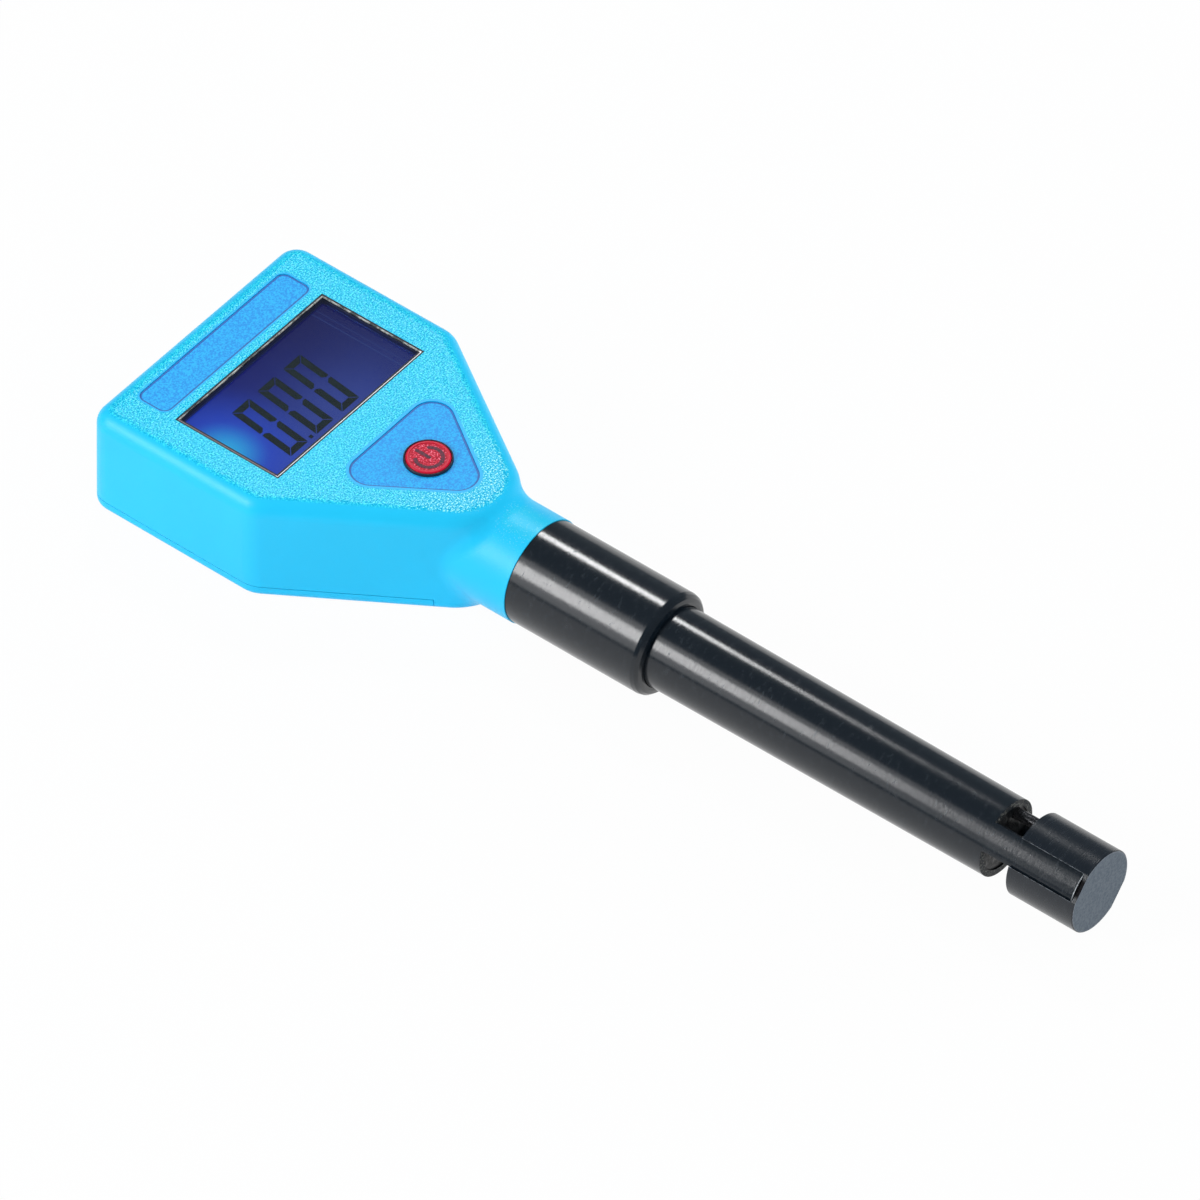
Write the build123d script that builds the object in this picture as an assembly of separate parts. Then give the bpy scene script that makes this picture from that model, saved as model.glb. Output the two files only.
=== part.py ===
from build123d import *
import os
from math import cos, radians, sin, tan

# Handheld conductivity meter, in millimetres. It lies on its back: X runs across the display, +Y to the
# end of the head, +Z out of the face. The origin is at the middle of its length and width, on the surface.

# Whole meter
overall_length = 204.4
axis_height = 10.4            # probe axis above the back

# Head outline
shoulder_margin = 0.5         # window to the shoulders, along the meter
shoulder_angle = 33.0         # shoulders from the long axis
corner_radius = 4.5
shoulder_radius = 6.5
nose_radius = 11.9
neck_length = 7.38            # nose to the end of the neck
draft = 1.0

# Case moulding
case_wall = 2.2
face_wall = 2.2
face_round = 3.3
back_round = 1.6
neck_radius = 10.35
neck_blend = 5.0
parting = 2.6                 # underside of the case wall above the back
parting_gap = 0.15
cover_inset = 7.67            # nose to the cover
fit = 0.05                    # glued and pushed fits
gap = 0.2                     # loose pieces beside each other

# Face
window_width = 41.3
window_height = 23.65
window_margin = 8.65          # window to the side of the case
window_start = 13.85          # end of the head to the window
window_thickness = 1.8
label_height = 7.1
label_centre = 8.2            # end of the head to the label's middle
label_radius = 1.8
recess = 0.5
film = 0.3
keypad_margin = 7.5           # window to the keypad's straight edge
keypad_length = 23.8          # straight edge to the opposite corner, taken as sharp
keypad_half_width = 16.1
keypad_radius = 4.0

# Power button and its switch
button_inset = 10.05          # keypad's straight edge to the button's centre
button_radius = 4.12
button_gap = 0.4
button_rise = 0.5
button_travel = 0.6
flange_radius = 5.6
flange_thickness = 0.7
dish_depth = 0.15
rim_width = 0.6
switch_size = 6.0
switch_height = 2.5
plunger_radius = 1.75
plunger_depth = 1.2

# Display module and board
panel_thickness = 1.8
backlight_thickness = 2.0
ledge_thickness = 0.5
ledge_width = 0.6             # ledge that the window stands on
panel_lap = 1.6               # glass past the window, each side
holder_wall = 1.0
film_margin = 0.7             # polariser short of the window
strip_width = 1.2
led_size = 1.4
board_thickness = 1.6
board_margin = 1.0            # board to the case wall
board_overhang = 1.5          # board past the cover, into the neck
board_post = 4.0              # side of the four square posts that hold the board down
post_pitch_end = 31.0         # posts near the end of the head, across
post_pitch_neck = 18.0        # the same near the neck
post_row_end = 6.2            # end of the head to the first row of posts
post_row_neck = 7.6           # other end of the board to the second row
controller_size = (7.0, 7.0, 1.4)
amplifier_size = (4.0, 5.0, 1.4)
crystal_size = (2.5, 6.0, 2.0)
inductor_size = (6.0, 4.0, 2.6)
capacitor_size = (1.2, 2.0, 0.8)
capacitor_count = 4
capacitor_pitch = 2.2
power_capacitor_radius = 2.0
power_capacitor_height = 3.6
power_part_side = 10.0        # power parts from the middle of the board
part_margin = 2.0             # parts to what stands beside them

# Case screws
screw_radius = 1.1
screw_length = 9.0
head_radius = 2.1
head_thickness = 1.2
head_sunk = 0.1
boss_radius = 2.9
boss_row_end = 5.6            # end of the head to the first two bosses
boss_side_end = 5.6           # side of the case to them
boss_row_neck = 7.7           # start of the shoulders to the other two
boss_side_neck = 4.9          # shoulder to them, square to it

# Battery bay and door
cell_radius = 5.25
cell_length = 44.5
cell_gap = 0.3
nub_radius = 1.9
nub_length = 1.0
spring_length = 5.0
spring_sheet = 0.3
contact_thickness = 0.4
contact_height = 8.0
tab_width = 2.0
bay_wall = 1.6
bay_roof = 1.45
bay_end_gap = 4.2             # end of the head to the bay
door_thickness = 2.0
door_recess = 0.1
door_gap = 0.15
tongue = 1.0
tongue_thickness = 0.8
grip_width = 10.0
grip_length = 7.0
grip_ribs = 3

# Calibration trimmer, reached through the back
trimmer_size = 6.6
trimmer_height = 4.8
trimmer_margin = 2.7          # trimmer to the battery bay
trimmer_row = 6.0             # start of the shoulders to the trimmer
rotor_radius = 1.9
rotor_height = 1.6
slot_width = 0.6
guide_radius = 3.0
guide_bore = 1.8

# Probe
spigot_length = 8.0
spigot_radius = 9.1
sleeve_radius = 10.15
sleeve_length = 29.65
sleeve_round = 1.5
tube_radius = 8.0
tube_tip_radius = 7.6
tube_bore = 6.3
tube_flange = 1.5
block_radius = 8.05
block_length = 14.3
cell_slot = 6.1               # measuring gap between tube and end block
tongue_angle = 138.0          # the tube's two tongues, from +X towards +Z
tip_tongue_width = 5.5
tongue_short = 1.0            # tongues end this far from the tip
tip_flat = 7.45               # flats on the last of the block, from the axis
carrier_length = 20.0
carrier_recess = 0.3
pin_radius = 1.1
pin_offsets = [4.8, -2.6]     # electrodes from the axis, square to the tongues
pin_seat = 5.0
sensor_radius = 1.0
sensor_length = 6.0
sensor_offset = 3.4
cable_radius = 1.3
header_width = 9.0
header_length = 5.0
header_drop = 2.6             # connector below the cable

# Heights, from the back to the face
door_top = door_recess + door_thickness
cell_height = door_top + cell_gap + cell_radius
roof_bottom = cell_height + cell_radius + gap
board_bottom = roof_bottom + bay_roof + fit
board_top = board_bottom + board_thickness
panel_bottom = board_top + backlight_thickness
panel_top = panel_bottom + panel_thickness
face_inside = panel_top + ledge_thickness
case_depth = face_inside + face_wall
cover_top = parting - parting_gap

# Places along the meter
case_width = window_width + 2 * window_margin
head_end = overall_length / 2
tip_end = -head_end
window_y = head_end - window_start - window_height / 2
window_low = window_y - window_height / 2
shoulder_y = window_low - shoulder_margin
shoulder_apex = shoulder_y - case_width / 2 / tan(radians(shoulder_angle))
nose_end = shoulder_apex + nose_radius / sin(radians(shoulder_angle)) - nose_radius
cover_end = nose_end + cover_inset
neck_end = nose_end - neck_length
sleeve_end = neck_end - sleeve_length
block_start = tip_end + block_length
tube_end = block_start + cell_slot
keypad_y = window_low - keypad_margin
button_y = keypad_y - button_inset
spigot_end = neck_end + spigot_length
tube_start = spigot_end + tube_flange
flange_top = face_inside - gap
plunger_top = flange_top - flange_thickness
switch_top = board_top + switch_height
panel_width = window_width + 2 * panel_lap
panel_height = window_height + 2 * panel_lap
holder_width = panel_width + 2 * (fit + holder_wall)
holder_height = panel_height + 2 * (fit + holder_wall)
board_neck = cover_end - board_overhang
bay_half = 2 * cell_radius + 2 * gap
bay_top = head_end - bay_end_gap
bay_start = bay_top - cell_length - spring_length - 2 * contact_thickness - cell_gap
door_half = bay_half + bay_wall / 2
door_start = bay_start - bay_wall
cell_x = cell_radius + gap / 2
trimmer_x = bay_half + bay_wall + trimmer_margin + trimmer_size / 2
trimmer_y = shoulder_y + trimmer_row
neck_bore = spigot_radius + fit


def block(x0, x1, y0, y1, z0, z1):
    """Block between two corners."""
    return Pos((x0 + x1) / 2, (y0 + y1) / 2, (z0 + z1) / 2) * Box(x1 - x0, y1 - y0, z1 - z0)


def post(x, y, z0, z1, radius):
    """Round bar parallel to Z."""
    return Pos(x, y, (z0 + z1) / 2) * Cylinder(radius, z1 - z0)


def rod(y0, y1, radius, x=0, z=axis_height):
    """Round bar parallel to Y."""
    return Pos(x, (y0 + y1) / 2, z) * Rot(90, 0, 0) * Cylinder(radius, y1 - y0)


def turned(points):
    """Body turned about Y from (radius, y) points."""
    return revolve(Polygon(*points, align=None), Axis.Y)


def rim_points(radius, end, size, way):
    """Round rim of a turned body as three short bevels, from its side to its end face."""
    turns = [radians(30 * n) for n in range(4)]
    return [(radius - size * (1 - cos(turn)), end - way * size * (1 - sin(turn))) for turn in turns]


def plate(outline, z0, z1, taper=0):
    """Flat outline made solid between two heights."""
    return Pos(0, 0, z0) * extrude(outline, z1 - z0, taper=taper)


def case_outline():
    """Plan shape of the head at the back: straight sides, two shoulders and a round nose."""
    half = case_width / 2
    corners = [(half, head_end), (-half, head_end), (-half, shoulder_y), (0, shoulder_apex),
               (half, shoulder_y)]
    outline = Polygon(*corners, align=None)
    rows = outline.vertices().group_by(Axis.Y)
    outline = fillet(rows[-1], corner_radius)
    outline = fillet(outline.vertices().group_by(Axis.Y)[0], nose_radius)
    shoulders = [v for v in outline.vertices() if abs(v.Y - shoulder_y) < fit]
    return fillet(shoulders, shoulder_radius)


def case_envelope():
    """Outside of case and cover together, with the neck blended into the head."""
    head = plate(case_outline(), 0, case_depth, taper=draft)
    head = fillet(head.faces().sort_by(Axis.Z)[-1].edges(), face_round)
    head = fillet(head.faces().sort_by(Axis.Z)[0].edges(), back_round)
    neck = rod(neck_end, shoulder_y, neck_radius)
    body = head + neck
    seam = [e for e in body.edges() if on_seam(e)]
    return fillet(seam, neck_blend)


def on_seam(edge):
    """True for an edge where the neck runs into the nose of the head."""
    places = [edge @ t for t in (0.1, 0.5, 0.9)]
    radii = [Vector(p.X, 0, p.Z - axis_height).length for p in places]
    on_neck = all(abs(r - neck_radius) < fit for r in radii)
    return on_neck and edge.geom_type != GeomType.LINE and places[1].Y > neck_end + fit


def boss_places():
    """Centres of the four case screws."""
    side = case_width / 2 - boss_side_end
    turn = radians(shoulder_angle)
    neck_side = case_width / 2 - (boss_side_neck + boss_row_neck * sin(turn)) / cos(turn)
    rows = [(side, head_end - boss_row_end), (neck_side, shoulder_y - boss_row_neck)]
    return [(sign * x, y) for x, y in rows for sign in (-1, 1)]


def board_post_places():
    """Centres of the four posts over the board."""
    rows = [(post_pitch_end / 2, head_end - post_row_end), (post_pitch_neck / 2, board_neck + post_row_neck)]
    return [(sign * x, y) for x, y in rows for sign in (-1, 1)]


def keypad_outline():
    """Rounded triangle round the button."""
    corners = [(keypad_half_width, keypad_y), (-keypad_half_width, keypad_y), (0, keypad_y - keypad_length)]
    outline = Polygon(*corners, align=None)
    return fillet(outline.vertices(), keypad_radius)


def label_outline():
    """Bare rounded label above the window."""
    return Pos(0, head_end - label_centre) * RectangleRounded(window_width, label_height, label_radius)


def cover_region():
    """Space below the parting line that the back cover fills."""
    return block(-case_width, case_width, cover_end, head_end + 1, -1, parting)


def case_cavity():
    """Inside of the head, above the cover."""
    return plate(offset(case_outline(), -case_wall), parting, face_inside)


def front_case(envelope):
    """Deep face moulding, with the neck, the window frame, recesses and screw bosses."""
    case = envelope - cover_region() - case_cavity()
    case -= rod(neck_end - 1, cover_end, neck_bore)
    window = Rectangle(window_width, window_height)
    case -= plate(Pos(0, window_y) * window, face_inside - 1, case_depth + 1)
    case -= plate(label_outline(), case_depth - recess, case_depth + 1)
    case -= plate(keypad_outline(), case_depth - recess, case_depth + 1)
    case -= post(0, button_y, face_inside - 1, case_depth, button_radius + button_gap)
    for x, y in boss_places():
        case += post(x, y, cover_top, face_inside + fit, boss_radius)
        case -= post(x, y, 0, parting + screw_length, screw_radius + fit)
    half = board_post / 2
    for x, y in board_post_places():
        case += block(x - half, x + half, y - half, y + half, board_top, face_inside + fit)
    return case


def door_space(clearance):
    """Battery door with its two tongues, grown by a clearance on the sides that slide."""
    half = door_half + clearance
    top, middle = door_top + clearance, (door_recess + door_top) / 2
    rim = tongue_thickness / 2 + clearance
    body = block(-half, half, door_start - clearance, head_end + 1, -1, top)
    reach = half + tongue
    return body + block(-reach, reach, door_start - clearance, head_end + 1, middle - rim, middle + rim)


def battery_door(envelope):
    """Door that slides off over the end of the head, with a ribbed thumb grip."""
    plane = block(-case_width, case_width, door_start, head_end + 1, door_recess, door_top)
    door = (envelope & door_space(0)) & plane
    grip_y = door_start + bay_wall + grip_length
    grip = SlotOverall(grip_width, grip_length)
    door -= plate(Pos(0, grip_y) * grip, door_recess - 1, door_recess + recess * 2)
    for n in range(grip_ribs):
        y = grip_y + (n - (grip_ribs - 1) / 2) * grip_length / (grip_ribs + 1)
        door += block(-grip_width / 3, grip_width / 3, y - recess / 2, y + recess / 2, door_recess, door_top)
    return door


def bay_shell():
    """Battery bay on the inside of the cover."""
    outer = block(-bay_half - bay_wall, bay_half + bay_wall, bay_start - bay_wall, bay_top + bay_wall,
                  door_top + door_gap, roof_bottom + bay_roof)
    inner = block(-bay_half, bay_half, bay_start, bay_top, 0, roof_bottom)
    return outer - inner


def cover_ribs():
    """Two low ribs that locate the cover between the side walls."""
    side = case_width / 2 - case_wall - gap
    near, far = shoulder_y + shoulder_radius, head_end - boss_row_end - boss_radius - gap
    low, top = cover_top - fit, parting + case_wall
    return [block(*sorted((sign * side, sign * (side - holder_wall))), near, far, low, top)
            for sign in (-1, 1)]


def back_cover(envelope):
    """Flat cover with battery bay, sunk screw holes and the trimmer's guide."""
    cover = envelope & block(-case_width, case_width, cover_end + parting_gap, head_end + 1, -1, cover_top)
    cover += cover_ribs()
    cover += bay_shell()
    guide_top = board_bottom - trimmer_height - rotor_height / 2
    cover += post(trimmer_x, trimmer_y, cover_top - fit, guide_top, guide_radius)
    cover -= post(trimmer_x, trimmer_y, -1, guide_top + 1, guide_bore)
    cover -= door_space(door_gap)
    cover -= block(-bay_half, bay_half, bay_start, bay_top, 0, roof_bottom)
    for x, y in boss_places():
        cover -= Pos(x, y) * countersink()
    for x in (-cell_x, cell_x):
        slot = tab_width / 2 + gap
        cover -= block(x - slot, x + slot, bay_start - fit, bay_start + contact_thickness + gap,
                       roof_bottom - fit, board_bottom)
    return cover


def countersink():
    """Hole for one case screw, at the origin."""
    top = head_sunk + head_thickness
    slope = (head_radius - screw_radius) / head_thickness
    hole = screw_radius + fit
    return Pos(0, 0, top / 2) * Cone(hole + slope * top, hole, top) + post(0, 0, top, parting + 1, hole)


def case_screws():
    """Four countersunk screws from the cover up into the case."""
    top = head_sunk + head_thickness
    head = Pos(0, 0, (head_sunk + top) / 2) * Cone(head_radius, screw_radius, head_thickness)
    screw = head + post(0, 0, top, top + screw_length, screw_radius)
    return [Pos(x, y) * screw for x, y in boss_places()]


def lcd_window():
    """Clear window, standing on the ledge of the display holder."""
    pane = Box(window_width - 2 * fit, window_height - 2 * fit, window_thickness)
    pane = Pos(0, window_y, face_inside + window_thickness / 2) * pane
    return chamfer(pane.edges().group_by(Axis.Z)[-1], gap)


def lcd_holder():
    """Frame round glass and backlight, with the ledge that shows round the display."""
    outer = Rectangle(holder_width, holder_height)
    inner = Rectangle(panel_width + 2 * fit, panel_height + 2 * fit)
    sight = Rectangle(window_width - 2 * ledge_width, window_height - 2 * ledge_width)
    holder = plate(Pos(0, window_y) * (outer - inner), board_top, panel_top)
    return holder + plate(Pos(0, window_y) * (outer - sight), panel_top, face_inside)


def lcd_panel():
    """Display glass with the polariser on it, a little smaller than the window."""
    glass_top = panel_top - film
    glass = plate(Pos(0, window_y) * Rectangle(panel_width, panel_height), panel_bottom, glass_top)
    polariser = Rectangle(window_width - 4 * film_margin, window_height - 2 * film_margin)
    return glass + plate(Pos(-film_margin, window_y) * polariser, glass_top, panel_top - fit)


def backlight_panel():
    """Light guide between the two connector strips, cut short for its lamp."""
    height = panel_height - 2 * (strip_width + 2 * gap)
    left = -panel_width / 2 + led_size + 2 * gap
    return block(left, panel_width / 2 - gap, window_y - height / 2, window_y + height / 2,
                 board_top, panel_bottom)


def backlight_led():
    """Lamp at the left end of the light guide."""
    left, y = -panel_width / 2 + gap, window_y - window_height / 6
    return block(left, left + led_size, y - led_size, y + led_size, board_top, panel_bottom - gap)


def zebra_strips():
    """Two rubber strips that join the glass to the board."""
    place = panel_height / 2 - gap - strip_width / 2
    height = panel_bottom - board_top
    strip = Box(window_width, strip_width, height)
    return [Pos(0, window_y + side * place, board_top + height / 2) * strip for side in (-1, 1)]


def main_board():
    """Circuit board that follows the head, clear of the bosses."""
    outline = offset(case_outline(), -case_wall - board_margin)
    board = plate(outline, board_bottom, board_top)
    board &= block(-case_width, case_width, board_neck, head_end, board_bottom, board_top)
    for x, y in boss_places():
        board -= post(x, y, board_bottom - 1, board_top + 1, boss_radius + 2 * gap)
    return board


def switch_body():
    """Push switch under the power button, open on top for its plunger."""
    body = Pos(0, button_y, board_top + switch_height / 2) * Box(switch_size, switch_size, switch_height)
    body = chamfer(body.edges().filter_by(Axis.Z), rim_width)
    floor = switch_top - plunger_depth - button_travel - gap
    return body - post(0, button_y, floor, switch_top + 1, plunger_radius + fit)


def switch_plunger():
    """Round plunger that the button presses."""
    return post(0, button_y, switch_top - plunger_depth, plunger_top, plunger_radius)


def power_button():
    """Round dished cap with a flange that keeps it in the case."""
    top, dish = case_depth + button_rise, button_radius - rim_width
    points = [(dish, top), (dish, top - dish_depth), (0, top - dish_depth), (0, plunger_top),
              (flange_radius, plunger_top), (flange_radius, flange_top), (button_radius, flange_top)]
    points += rim_points(button_radius, top, rim_width / 2, 1)
    return Pos(0, button_y, 0) * Rot(90, 0, 0) * turned(points)


def keypad_overlay():
    """Darker film in the recess round the button."""
    outline = offset(keypad_outline(), -fit)
    sheet = plate(outline, case_depth - recess, case_depth - recess + film)
    return sheet - post(0, button_y, 0, case_depth, button_radius + button_gap)


def label_plate():
    """Bare film in the recess above the window."""
    return plate(offset(label_outline(), -fit), case_depth - recess, case_depth - recess + film)


def small_part(x, y, size, above=False):
    """Chip or other moulded part on one side of the board."""
    height = size[2]
    z = board_top + height / 2 if above else board_bottom - height / 2
    part = Pos(x, y, z) * Box(*size)
    return chamfer(part.edges().filter_by(Axis.Z), gap)


def board_parts():
    """What the board carries, by node name."""
    side = bay_half + bay_wall + part_margin
    left, right = -side - controller_size[0] / 2, side + amplifier_size[0] / 2
    row = button_y + switch_size / 2 + part_margin
    upper, lower = window_y + window_height / 2, window_y - window_height / 2
    capacitors = [small_part(side + n * capacitor_pitch, window_y, capacitor_size)
                  for n in range(capacitor_count)]
    return {
        "controller_chip": small_part(left, window_y, controller_size),
        "amplifier_chip": small_part(right, upper, amplifier_size),
        "clock_crystal": small_part(left, lower, crystal_size),
        "chip_capacitors": capacitors,
        "power_capacitor": post(-power_part_side, row, board_top, board_top + power_capacitor_height,
                                power_capacitor_radius),
        "boost_inductor": small_part(power_part_side, row, inductor_size, True),
    }


def sensor_header():
    """Connector for the probe cable, under the board and open towards the neck."""
    half, start = header_width / 2, board_neck + gap
    z = axis_height - header_drop
    header = block(-half, half, start, start + header_length, z, board_bottom)
    return header - rod(start - 1, start + header_length / 2, cable_radius + fit)


def trimmer_body():
    """Trimmer under the board, with a round socket for its rotor."""
    body = small_part(trimmer_x, trimmer_y, (trimmer_size, trimmer_size, trimmer_height))
    z = board_bottom - trimmer_height
    return body - post(trimmer_x, trimmer_y, z - 1, z + rotor_height, rotor_radius + fit)


def trimmer_rotor():
    """Slotted rotor, turned with a screwdriver through the back."""
    z = board_bottom - trimmer_height
    rotor = post(trimmer_x, trimmer_y, z - rotor_height / 4, z + rotor_height - fit, rotor_radius)
    slot = Box(2 * rotor_radius, slot_width, rotor_height / 2)
    return rotor - Pos(trimmer_x, trimmer_y, z - rotor_height / 4) * slot


def spring_foot(side):
    """Contact face that one cell's spring stands on: the left cell has it on the neck side."""
    return bay_start + contact_thickness if side < 0 else bay_top - contact_thickness


def battery_cell(side):
    """Slim cell with its button end away from the spring."""
    base, way = spring_foot(side) - side * spring_length, -side
    body = sorted((base, base + way * (cell_length - nub_length)))
    nub = sorted((base, base + way * cell_length))
    place = side * cell_x, cell_height
    return rod(*body, cell_radius, *place) + rod(*nub, nub_radius, *place)


def battery_spring(side):
    """Folded leaf between a contact and the flat end of a cell."""
    foot, way = spring_foot(side), -side
    reach, sheet, pad = spring_length - fit, spring_sheet, nub_radius
    profile = [(-contact_height / 2, fit), (contact_height / 2, fit), (pad, reach), (-pad, reach),
               (-pad, reach - sheet), (pad - sheet, reach - sheet),
               (contact_height / 2 - 2 * sheet, fit + sheet), (-contact_height / 2, fit + sheet)]
    outline = Polygon(*[(foot + way * u, cell_height + v) for v, u in profile], align=None)
    return extrude(Plane.YZ.offset(side * cell_x) * outline, cell_radius / 2, both=True)


def contact_plate(x0, x1, y, low, tab):
    """Sheet contact at one end of the bay, with a tab up to the board if it has one."""
    sheet = block(x0, x1, y, y + contact_thickness, low, low + contact_height)
    if tab:
        x = (x0 + x1) / 2
        sheet += block(x - tab_width / 2, x + tab_width / 2, y, y + contact_thickness, low, board_bottom)
    return sheet


def battery_contacts():
    """Two contacts on the neck side and the bridge between the cells at the other end."""
    half, low = contact_height / 2, cell_height - contact_height / 2
    near = [contact_plate(x - half, x + half, bay_start, low, True) for x in (-cell_x, cell_x)]
    return near, contact_plate(-cell_x - half, cell_x + half, bay_top - contact_thickness, low, False)


def sleeve():
    """Collar of the probe, rounded at its end, with a spigot up the neck."""
    bore = tube_radius + 2 * fit
    points = [(bore, sleeve_end), (bore, spigot_end), (spigot_radius, spigot_end),
              (spigot_radius, neck_end), (sleeve_radius, neck_end)]
    points += rim_points(sleeve_radius, sleeve_end, sleeve_round, -1)
    return Pos(0, 0, axis_height) * turned(points)


def across_tongues(x, width, y0, y1):
    """Bar through the probe at the tongues' angle: x is its reach each way, and width its own."""
    bar = Pos(0, (y0 + y1) / 2, 0) * Box(2 * x, y1 - y0, width)
    return Pos(0, 0, axis_height) * Rot(0, -tongue_angle, 0) * bar


def probe_tube():
    """Slightly tapered tube with a flange in the neck, and two tongues that carry the end block."""
    tongue_end = tip_end + tongue_short
    middle = ((tube_radius + tube_tip_radius) / 2, (sleeve_end + tube_end) / 2)
    points = [(tube_tip_radius, tube_end), (tube_tip_radius, tongue_end), (tube_bore, tongue_end),
              (tube_bore, tube_start), (spigot_radius, tube_start), (spigot_radius, spigot_end),
              (tube_radius, spigot_end), (tube_radius, sleeve_end)]
    outline = Polyline(*points) + Spline(points[-1], middle, points[0])
    shell = Pos(0, 0, axis_height) * revolve(make_face(outline), Axis.Y)
    past = block(-case_width, case_width, tongue_end - 1, tube_end, -case_width, case_width)
    keep = across_tongues(case_width, tip_tongue_width, tongue_end - 1, tube_end)
    return shell - (past - keep)


def radial_place(offset_mm, angle):
    """X and Z of a point that far from the probe axis, in that direction."""
    return offset_mm * cos(radians(angle)), axis_height + offset_mm * sin(radians(angle))


def pin_places():
    """X and Z of the electrodes."""
    return [radial_place(r, tongue_angle - 90) for r in pin_offsets]


def end_block():
    """Plug that closes the measuring gap, slotted for the tongues and drilled for the electrodes."""
    body = rod(tip_end, block_start, block_radius)
    body = chamfer(body.edges().group_by(Axis.Y)[0], fit * 3)
    slot_end = tip_end + tongue_short - fit
    slot = across_tongues(case_width, tip_tongue_width + 2 * fit, slot_end, block_start + 1)
    body -= slot - rod(slot_end, block_start + 1, tube_bore - fit)
    flats = across_tongues(case_width, tip_tongue_width + 2 * fit, tip_end - 1, slot_end)
    body -= flats - across_tongues(tip_flat, case_width, tip_end - 1, slot_end)
    for x, z in pin_places():
        body -= rod(block_start - pin_seat - gap, block_start + 1, pin_radius + fit, x, z)
    return body


def tip_carrier():
    """Moulding in the tube's end that holds electrodes, temperature sensor and cable."""
    front, back = tube_end + carrier_recess, tube_end + carrier_recess + carrier_length
    body = rod(front, back, tube_bore - fit)
    for x, z in pin_places():
        body -= rod(front - 1, front + 2 * pin_seat + gap, pin_radius + fit, x, z)
    x, z = radial_place(sensor_offset, tongue_angle)
    body -= rod(front - 1, front + sensor_length + fit, sensor_radius + fit, x, z)
    return body - rod(back - pin_seat, back + 1, cable_radius + fit)


def electrode_pin(place):
    """One electrode across the measuring gap."""
    front = tube_end + carrier_recess
    return rod(block_start - pin_seat, front + 2 * pin_seat, pin_radius, *place)


def temperature_sensor():
    """Capsule flush with the carrier's face."""
    front = tube_end + carrier_recess
    return rod(front, front + sensor_length, sensor_radius, *radial_place(sensor_offset, tongue_angle))


def sensor_cable():
    """Cable from the carrier through the tube to the board's connector."""
    back = tube_end + carrier_recess + carrier_length
    return rod(back - pin_seat + fit, board_neck + gap + header_length / 2 - fit, cable_radius)


def write(name, shape):
    """One STEP per node."""
    solids = shape if isinstance(shape, (list, tuple)) else [shape]
    export_step(Compound(children=[Solid(s.solid().wrapped) for s in solids]), f"parts/{name}.step")


def build():
    """Every node of the meter."""
    envelope = case_envelope()
    neck_contacts, bridge = battery_contacts()
    nodes = {
        "front_case": front_case(envelope),
        "back_cover": back_cover(envelope),
        "battery_door": battery_door(envelope),
        "case_screws": case_screws(),
        "label_plate": label_plate(),
        "keypad_overlay": keypad_overlay(),
        "power_button": power_button(),
        "switch_plunger": switch_plunger(),
        "switch_body": switch_body(),
        "lcd_window": lcd_window(),
        "lcd_holder": lcd_holder(),
        "lcd_panel": lcd_panel(),
        "zebra_strips": zebra_strips(),
        "backlight_panel": backlight_panel(),
        "backlight_led": backlight_led(),
        "main_board": main_board(),
        "sensor_header": sensor_header(),
        "trimmer_body": trimmer_body(),
        "trimmer_rotor": trimmer_rotor(),
        "battery_cell_left": battery_cell(-1),
        "battery_cell_right": battery_cell(1),
        "battery_springs": [battery_spring(-1), battery_spring(1)],
        "battery_contacts": neck_contacts,
        "battery_bridge": bridge,
        "sleeve": sleeve(),
        "probe_tube": probe_tube(),
        "sensor_cable": sensor_cable(),
        "tip_carrier": tip_carrier(),
        "temperature_sensor": temperature_sensor(),
        "electrode_upper": electrode_pin(pin_places()[0]),
        "electrode_lower": electrode_pin(pin_places()[1]),
        "end_block": end_block(),
    }
    nodes.update(board_parts())
    return nodes


os.makedirs("parts", exist_ok=True)
for node, solid in build().items():
    write(node, solid)
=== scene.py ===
from math import atan2, cos, pi, radians, sin, sqrt, tan

import bmesh
import bpy
from mathutils import Matrix, Vector


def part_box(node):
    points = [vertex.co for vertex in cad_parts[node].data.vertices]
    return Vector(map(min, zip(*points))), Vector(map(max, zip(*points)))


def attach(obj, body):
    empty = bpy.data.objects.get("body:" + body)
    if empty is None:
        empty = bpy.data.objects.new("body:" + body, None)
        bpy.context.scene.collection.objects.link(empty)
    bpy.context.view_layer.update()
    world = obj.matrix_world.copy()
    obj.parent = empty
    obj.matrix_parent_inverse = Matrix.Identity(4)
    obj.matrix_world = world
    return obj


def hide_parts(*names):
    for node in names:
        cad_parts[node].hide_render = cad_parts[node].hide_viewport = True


# Looks of the handheld conductivity meter. Lengths are in metres, and MM turns millimetres into them.

MM = 0.001

# Camera, fitted to the straight edges in the photograph
CAMERA_PLACE = (-1.27336, -0.98395, 1.66054)
CAMERA_BACK = (-0.551855, -0.429983, 0.714542)
CAMERA_RIGHT = (0.621305, -0.783525, 0.008352)
CAMERA_LENS = 392.0
SENSOR_WIDTH = 36.0

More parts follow.
